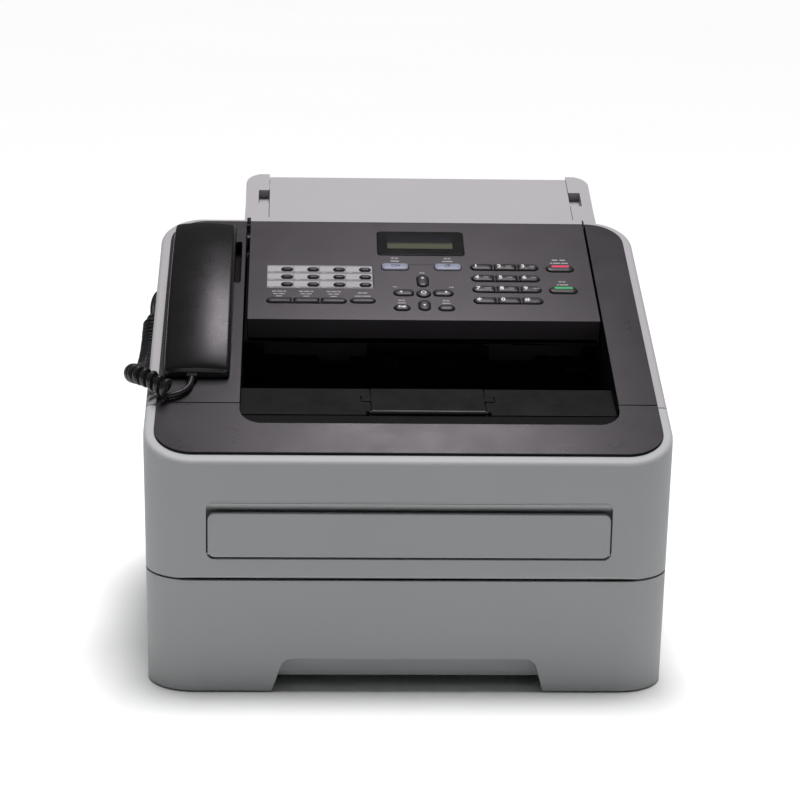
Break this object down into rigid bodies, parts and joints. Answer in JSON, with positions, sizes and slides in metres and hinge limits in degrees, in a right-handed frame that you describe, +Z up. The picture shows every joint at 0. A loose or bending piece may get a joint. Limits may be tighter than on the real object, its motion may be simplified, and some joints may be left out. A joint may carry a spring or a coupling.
{
  "type": "fax machine",
  "caption": "Desktop laser fax machine with sloping control panel, side handset on a curly cord, front paper cassette, output tray and rear document tray.",
  "frame": {"origin": "centre of the footprint, on the surface that the rubber feet stand on", "axes": "+X to the right seen from the front, +Y towards the rear, +Z up"},
  "size_m": [0.3861, 0.36, 0.3124],
  "materials": {
    "case_grey": "fine textured moulded plastic, light grey",
    "charcoal_trim": "satin charcoal plastic",
    "black_plastic": "matt black plastic",
    "handset_black": "satin black plastic",
    "cord_black": "semi-gloss black PVC",
    "clear_plug": "smoked polycarbonate",
    "display_window": "polished black window with a clear display area",
    "rubber": "matt rubber",
    "steel": "zinc plated",
    "board_green": "glass-fibre circuit board",
    "key_black": "satin black keys",
    "key_blue_grey": "satin blue-grey keys"
  },
  "bodies": {
    "root": {"main_housing": "case_grey", "top_cover": "case_grey", "top_inner_cover": "charcoal_trim", "rubber_feet": "rubber", "case_screws": "steel", "document_chute": "black_plastic", "image_sensor": "black_plastic", "drum_unit": "black_plastic", "toner_cartridge": "black_plastic", "main_board": "board_green", "handset_cord": "cord_black"},
    "front_cover": {"front_cover": "case_grey", "front_cover_trim": "charcoal_trim"},
    "manual_feed_cover": {"manual_feed_cover": "case_grey"},
    "output_flap": {"output_flap": "black_plastic"},
    "rear_cover": {"rear_cover": "case_grey"},
    "paper_cassette": {"paper_cassette": "case_grey"},
    "paper_lift_plate": {"paper_lift_plate": "steel"},
    "paper_guide_left": {"paper_guide_left": "black_plastic"},
    "paper_guide_right": {"paper_guide_right": "black_plastic"},
    "control_panel": {"control_panel_case": "charcoal_trim", "lcd_window": "display_window"},
    "document_support": {"document_support": "case_grey"},
    "document_guide_left": {"document_guide_left": "black_plastic"},
    "document_guide_right": {"document_guide_right": "black_plastic"},
    "document_feed_roller": {"document_feed_roller": "rubber"},
    "exit_roller": {"exit_roller": "rubber"},
    "pickup_roller": {"pickup_roller": "rubber"},
    "handset": {"handset_outer_shell": "handset_black", "handset_inner_shell": "handset_black", "handset_plug": "clear_plug"},
    "hook_switch": {"hook_switch": "black_plastic"},
    "key_1": {"key_1": "key_black"},
    "key_2": {"key_2": "key_black"},
    "key_3": {"key_3": "key_black"},
    "key_4": {"key_4": "key_black"},
    "key_5": {"key_5": "key_black"},
    "key_6": {"key_6": "key_black"},
    "key_7": {"key_7": "key_black"},
    "key_8": {"key_8": "key_black"},
    "key_9": {"key_9": "key_black"},
    "key_star": {"key_star": "key_black"},
    "key_0": {"key_0": "key_black"},
    "key_hash": {"key_hash": "key_black"},
    "hold_key": {"hold_key": "key_black"},
    "redial_key": {"redial_key": "key_black"},
    "fax_auto_key": {"fax_auto_key": "key_black"},
    "copy_options_key": {"copy_options_key": "key_black"},
    "fax_mode_key": {"fax_mode_key": "key_blue_grey"},
    "copy_mode_key": {"copy_mode_key": "key_blue_grey"},
    "up_key": {"up_key": "key_black"},
    "down_key": {"down_key": "key_black"},
    "left_key": {"left_key": "key_black"},
    "right_key": {"right_key": "key_black"},
    "ok_key": {"ok_key": "key_black"},
    "clear_key": {"clear_key": "key_black"},
    "menu_key": {"menu_key": "key_black"},
    "stop_key": {"stop_key": "key_black"},
    "start_key": {"start_key": "key_black"},
    "one_touch_keys": {"one_touch_keys": "key_black"}
  },
  "joints": [
    {"name": "front_cover_hinge", "type": "hinge", "parent": "root", "child": "front_cover", "pos_m": [0, -0.1745, 0.0893], "axis": [1, 0, 0], "range_deg": [0, 65]},
    {"name": "manual_feed_hinge", "type": "hinge", "parent": "front_cover", "child": "manual_feed_cover", "pos_m": [0, -0.1772, 0.1012], "axis": [1, 0, 0], "range_deg": [0, 65]},
    {"name": "output_flap_hinge", "type": "hinge", "parent": "root", "child": "output_flap", "pos_m": [0, -0.11399, 0.18532], "axis": [1, 0, 0], "range_deg": [0, 145]},
    {"name": "rear_cover_hinge", "type": "hinge", "parent": "root", "child": "rear_cover", "pos_m": [0, 0.169, 0.0998], "axis": [-1, 0, 0], "range_deg": [0, 85]},
    {"name": "cassette_slide", "type": "slide", "parent": "root", "child": "paper_cassette", "axis": [0, -1, 0], "range_m": [0, 0.3]},
    {"name": "lift_plate_hinge", "type": "hinge", "parent": "paper_cassette", "child": "paper_lift_plate", "pos_m": [0, 0.018, 0.0136], "axis": [-1, 0, 0], "range_deg": [0, 8]},
    {"name": "paper_guide_left_slide", "type": "slide", "parent": "paper_cassette", "child": "paper_guide_left", "axis": [1, 0, 0], "range_m": [0, 0.03]},
    {"name": "paper_guide_right_slide", "type": "slide", "parent": "paper_cassette", "child": "paper_guide_right", "axis": [1, 0, 0], "range_m": [-0.03, 0]},
    {"name": "control_panel_hinge", "type": "hinge", "parent": "root", "child": "control_panel", "pos_m": [0, 0.11002, 0.28072], "axis": [-1, 0, 0], "range_deg": [0, 50]},
    {"name": "document_support_hinge", "type": "hinge", "parent": "root", "child": "document_support", "pos_m": [0, 0.17568, 0.30693], "axis": [-1, 0, 0], "range_deg": [0, 115]},
    {"name": "document_guide_left_slide", "type": "slide", "parent": "root", "child": "document_guide_left", "axis": [1, 0, 0], "range_m": [0, 0.03]},
    {"name": "document_guide_right_slide", "type": "slide", "parent": "root", "child": "document_guide_right", "axis": [1, 0, 0], "range_m": [-0.03, 0]},
    {"name": "document_feed_roller_spin", "type": "hinge", "parent": "root", "child": "document_feed_roller", "pos_m": [0, 0.07879, 0.2419], "axis": [1, 0, 0], "continuous": true},
    {"name": "exit_roller_spin", "type": "hinge", "parent": "root", "child": "exit_roller", "pos_m": [0, 0.037, 0.187], "axis": [1, 0, 0], "continuous": true},
    {"name": "pickup_roller_spin", "type": "hinge", "parent": "root", "child": "pickup_roller", "pos_m": [0, -0.096, 0.074], "axis": [1, 0, 0], "continuous": true},
    {"name": "handset_lift", "type": "slide", "parent": "root", "child": "handset", "axis": [0, -0.3746, 0.9272], "range_m": [0, 0.09]},
    {"name": "hook_switch_slide", "type": "slide", "parent": "root", "child": "hook_switch", "axis": [0, -0.3746, 0.9272], "range_m": [0, 0.0036]},
    {"name": "key_1_press", "type": "slide", "parent": "control_panel", "child": "key_1", "axis": [0, -0.3746, 0.9272], "range_m": [-0.001, 0], "stiffness_N_per_m": 250},
    {"name": "key_2_press", "type": "slide", "parent": "control_panel", "child": "key_2", "axis": [0, -0.3746, 0.9272], "range_m": [-0.001, 0], "stiffness_N_per_m": 250},
    {"name": "key_3_press", "type": "slide", "parent": "control_panel", "child": "key_3", "axis": [0, -0.3746, 0.9272], "range_m": [-0.001, 0], "stiffness_N_per_m": 250},
    {"name": "key_4_press", "type": "slide", "parent": "control_panel", "child": "key_4", "axis": [0, -0.3746, 0.9272], "range_m": [-0.001, 0], "stiffness_N_per_m": 250},
    {"name": "key_5_press", "type": "slide", "parent": "control_panel", "child": "key_5", "axis": [0, -0.3746, 0.9272], "range_m": [-0.001, 0], "stiffness_N_per_m": 250},
    {"name": "key_6_press", "type": "slide", "parent": "control_panel", "child": "key_6", "axis": [0, -0.3746, 0.9272], "range_m": [-0.001, 0], "stiffness_N_per_m": 250},
    {"name": "key_7_press", "type": "slide", "parent": "control_panel", "child": "key_7", "axis": [0, -0.3746, 0.9272], "range_m": [-0.001, 0], "stiffness_N_per_m": 250},
    {"name": "key_8_press", "type": "slide", "parent": "control_panel", "child": "key_8", "axis": [0, -0.3746, 0.9272], "range_m": [-0.001, 0], "stiffness_N_per_m": 250},
    {"name": "key_9_press", "type": "slide", "parent": "control_panel", "child": "key_9", "axis": [0, -0.3746, 0.9272], "range_m": [-0.001, 0], "stiffness_N_per_m": 250},
    {"name": "key_star_press", "type": "slide", "parent": "control_panel", "child": "key_star", "axis": [0, -0.3746, 0.9272], "range_m": [-0.001, 0], "stiffness_N_per_m": 250},
    {"name": "key_0_press", "type": "slide", "parent": "control_panel", "child": "key_0", "axis": [0, -0.3746, 0.9272], "range_m": [-0.001, 0], "stiffness_N_per_m": 250},
    {"name": "key_hash_press", "type": "slide", "parent": "control_panel", "child": "key_hash", "axis": [0, -0.3746, 0.9272], "range_m": [-0.001, 0], "stiffness_N_per_m": 250},
    {"name": "hold_key_press", "type": "slide", "parent": "control_panel", "child": "hold_key", "axis": [0, -0.3746, 0.9272], "range_m": [-0.001, 0], "stiffness_N_per_m": 250},
    {"name": "redial_key_press", "type": "slide", "parent": "control_panel", "child": "redial_key", "axis": [0, -0.3746, 0.9272], "range_m": [-0.001, 0], "stiffness_N_per_m": 250},
    {"name": "fax_auto_key_press", "type": "slide", "parent": "control_panel", "child": "fax_auto_key", "axis": [0, -0.3746, 0.9272], "range_m": [-0.001, 0], "stiffness_N_per_m": 250},
    {"name": "copy_options_key_press", "type": "slide", "parent": "control_panel", "child": "copy_options_key", "axis": [0, -0.3746, 0.9272], "range_m": [-0.001, 0], "stiffness_N_per_m": 250},
    {"name": "fax_mode_key_press", "type": "slide", "parent": "control_panel", "child": "fax_mode_key", "axis": [0, -0.3746, 0.9272], "range_m": [-0.001, 0], "stiffness_N_per_m": 250},
    {"name": "copy_mode_key_press", "type": "slide", "parent": "control_panel", "child": "copy_mode_key", "axis": [0, -0.3746, 0.9272], "range_m": [-0.001, 0], "stiffness_N_per_m": 250},
    {"name": "up_key_press", "type": "slide", "parent": "control_panel", "child": "up_key", "axis": [0, -0.3746, 0.9272], "range_m": [-0.001, 0], "stiffness_N_per_m": 250},
    {"name": "down_key_press", "type": "slide", "parent": "control_panel", "child": "down_key", "axis": [0, -0.3746, 0.9272], "range_m": [-0.001, 0], "stiffness_N_per_m": 250},
    {"name": "left_key_press", "type": "slide", "parent": "control_panel", "child": "left_key", "axis": [0, -0.3746, 0.9272], "range_m": [-0.001, 0], "stiffness_N_per_m": 250},
    {"name": "right_key_press", "type": "slide", "parent": "control_panel", "child": "right_key", "axis": [0, -0.3746, 0.9272], "range_m": [-0.001, 0], "stiffness_N_per_m": 250},
    {"name": "ok_key_press", "type": "slide", "parent": "control_panel", "child": "ok_key", "axis": [0, -0.3746, 0.9272], "range_m": [-0.001, 0], "stiffness_N_per_m": 250},
    {"name": "clear_key_press", "type": "slide", "parent": "control_panel", "child": "clear_key", "axis": [0, -0.3746, 0.9272], "range_m": [-0.001, 0], "stiffness_N_per_m": 250},
    {"name": "menu_key_press", "type": "slide", "parent": "control_panel", "child": "menu_key", "axis": [0, -0.3746, 0.9272], "range_m": [-0.001, 0], "stiffness_N_per_m": 250},
    {"name": "stop_key_press", "type": "slide", "parent": "control_panel", "child": "stop_key", "axis": [0, -0.3746, 0.9272], "range_m": [-0.001, 0], "stiffness_N_per_m": 250},
    {"name": "start_key_press", "type": "slide", "parent": "control_panel", "child": "start_key", "axis": [0, -0.3746, 0.9272], "range_m": [-0.001, 0], "stiffness_N_per_m": 250},
    {"name": "one_touch_key_press", "type": "slide", "parent": "control_panel", "child": "one_touch_keys", "axis": [0, -0.3746, 0.9272], "range_m": [-0.001, 0], "stiffness_N_per_m": 250}
  ],
  "couplings": [
    {"joint": "paper_guide_right_slide", "follows": "paper_guide_left_slide", "ratio": -1},
    {"joint": "document_guide_right_slide", "follows": "document_guide_left_slide", "ratio": -1},
    {"joint": "hook_switch_slide", "follows": "handset_lift", "ratio": 0.04}
  ]
}
